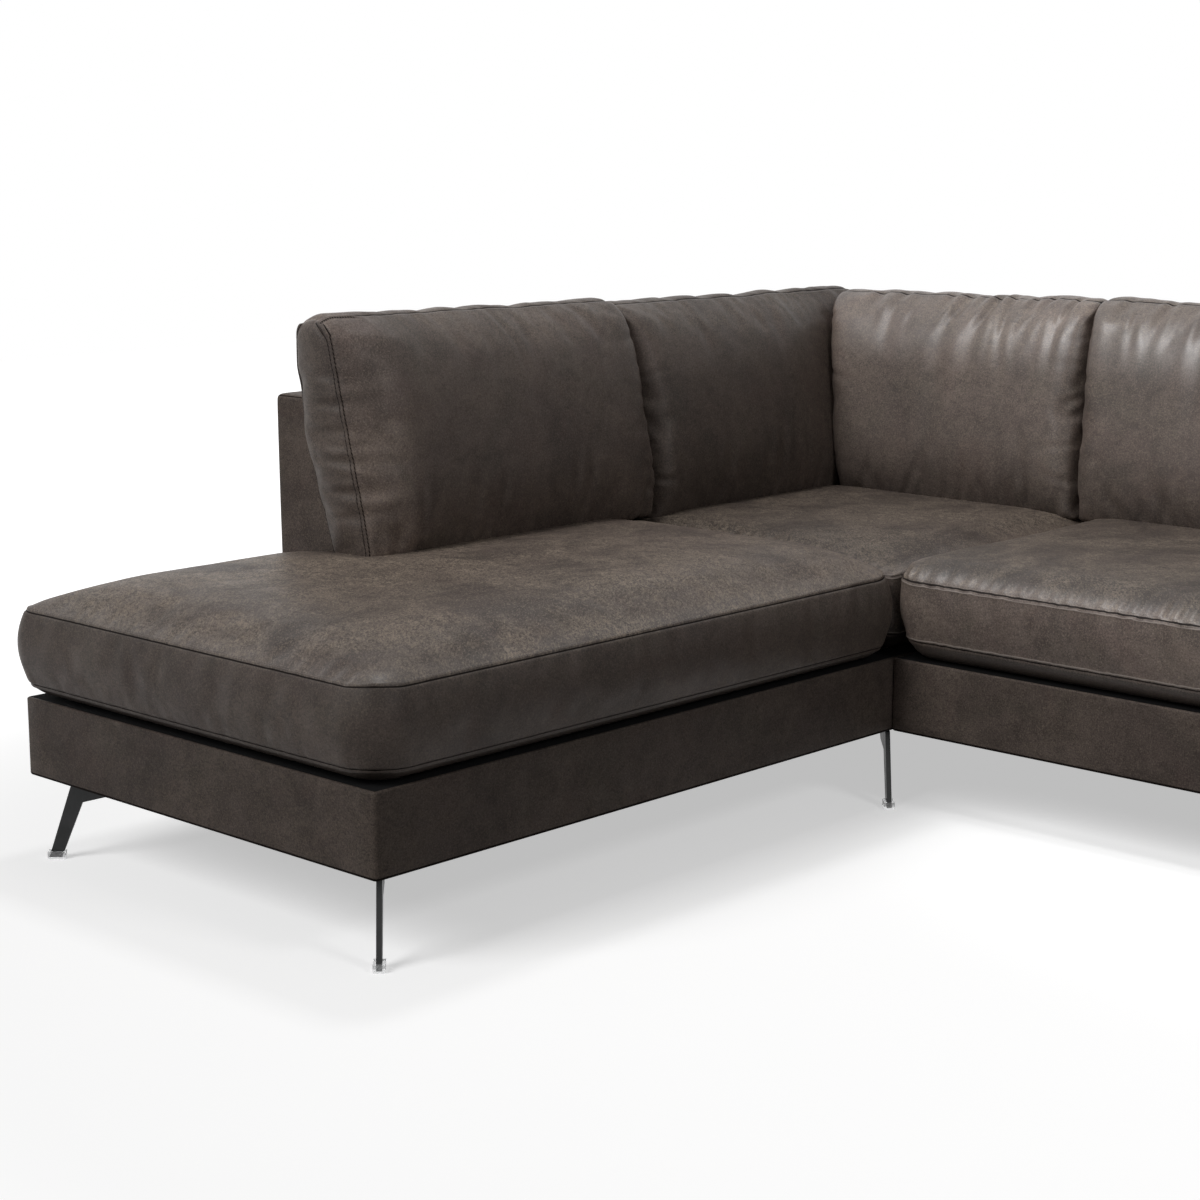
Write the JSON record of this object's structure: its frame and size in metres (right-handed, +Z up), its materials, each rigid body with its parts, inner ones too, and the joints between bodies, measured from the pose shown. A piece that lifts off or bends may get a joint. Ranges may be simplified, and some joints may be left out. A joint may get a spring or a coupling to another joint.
{
  "type": "chaise sofa",
  "caption": "L-shaped leather sofa with a chaise at its left end, loose back cushions, a leather-bordered base and slanted black steel legs.",
  "frame": {"origin": "middle of the sofa's plan, seat overhangs included, at floor level", "axes": "+X along the wing to its arm, +Y towards the rear back, +Z up"},
  "size_m": [2.603, 2.177, 0.9165],
  "materials": {
    "leather": "worn, satin, cloudy dark grey-brown",
    "timber": "planed, unfinished",
    "webbing": "woven elastic",
    "lining": "matt, non-woven",
    "foam": "soft, open cell",
    "grip": "hook and loop tape",
    "leg": "black powder coat, satin",
    "fixing": "zinc plated",
    "glide": "clear, smooth"
  },
  "bodies": {
    "frame": {"arm_cover": "leather", "arm_panels": "timber", "arm_rails": "timber", "back_bolts": "fixing", "back_straps": "webbing", "chaise_border": "leather", "chaise_cross_rails": "timber", "chaise_cross_straps": "webbing", "chaise_deck": "lining", "chaise_dust_cover": "lining", "chaise_leg_blocks": "timber", "chaise_long_straps": "webbing", "chaise_seat_core": "foam", "chaise_seat_cover": "leather", "chaise_side_rails": "timber", "corner_back_cover": "leather", "corner_back_rails": "timber", "corner_back_ribs": "timber", "corner_seat_core": "foam", "corner_seat_cover": "leather", "left_back_cover": "leather", "left_back_rails": "timber", "left_back_ribs": "timber", "leg_front_left": "leg", "leg_front_right": "leg", "leg_glides": "glide", "leg_inner_corner": "leg", "leg_rear_left": "leg", "leg_rear_middle": "leg", "leg_screws": "fixing", "leg_wing_front": "leg", "leg_wing_rear": "leg", "seat_grip_strips": "grip", "unit_bolts": "fixing", "wing_back_cover": "leather", "wing_back_rails": "timber", "wing_back_ribs": "timber", "wing_border": "leather", "wing_cross_rails": "timber", "wing_cross_straps": "webbing", "wing_deck": "lining", "wing_dust_cover": "lining", "wing_leg_blocks": "timber", "wing_long_rails": "timber", "wing_long_straps": "webbing", "wing_seat_1_core": "foam", "wing_seat_1_cover": "leather", "wing_seat_2_core": "foam", "wing_seat_2_cover": "leather"},
    "back_cushion_1": {"back_cushion_1_core": "foam", "back_cushion_1_cover": "leather"},
    "back_cushion_2": {"back_cushion_2_core": "foam", "back_cushion_2_cover": "leather"},
    "back_cushion_3": {"back_cushion_3_core": "foam", "back_cushion_3_cover": "leather"},
    "back_cushion_4": {"back_cushion_4_core": "foam", "back_cushion_4_cover": "leather"},
    "back_cushion_5": {"back_cushion_5_core": "foam", "back_cushion_5_cover": "leather"}
  },
  "joints": [
    {"name": "back_cushion_1_lift", "type": "slide", "parent": "frame", "child": "back_cushion_1", "axis": [-0.2232, 0, 0.9748], "range_m": [0, 0.35]},
    {"name": "back_cushion_2_lift", "type": "slide", "parent": "frame", "child": "back_cushion_2", "axis": [-0.2232, 0, 0.9748], "range_m": [0, 0.35]},
    {"name": "back_cushion_3_lift", "type": "slide", "parent": "frame", "child": "back_cushion_3", "axis": [0, 0.2232, 0.9748], "range_m": [0, 0.35]},
    {"name": "back_cushion_4_lift", "type": "slide", "parent": "frame", "child": "back_cushion_4", "axis": [0, 0.2232, 0.9748], "range_m": [0, 0.35]},
    {"name": "back_cushion_5_lift", "type": "slide", "parent": "frame", "child": "back_cushion_5", "axis": [0, 0.2232, 0.9748], "range_m": [0, 0.35]}
  ]
}
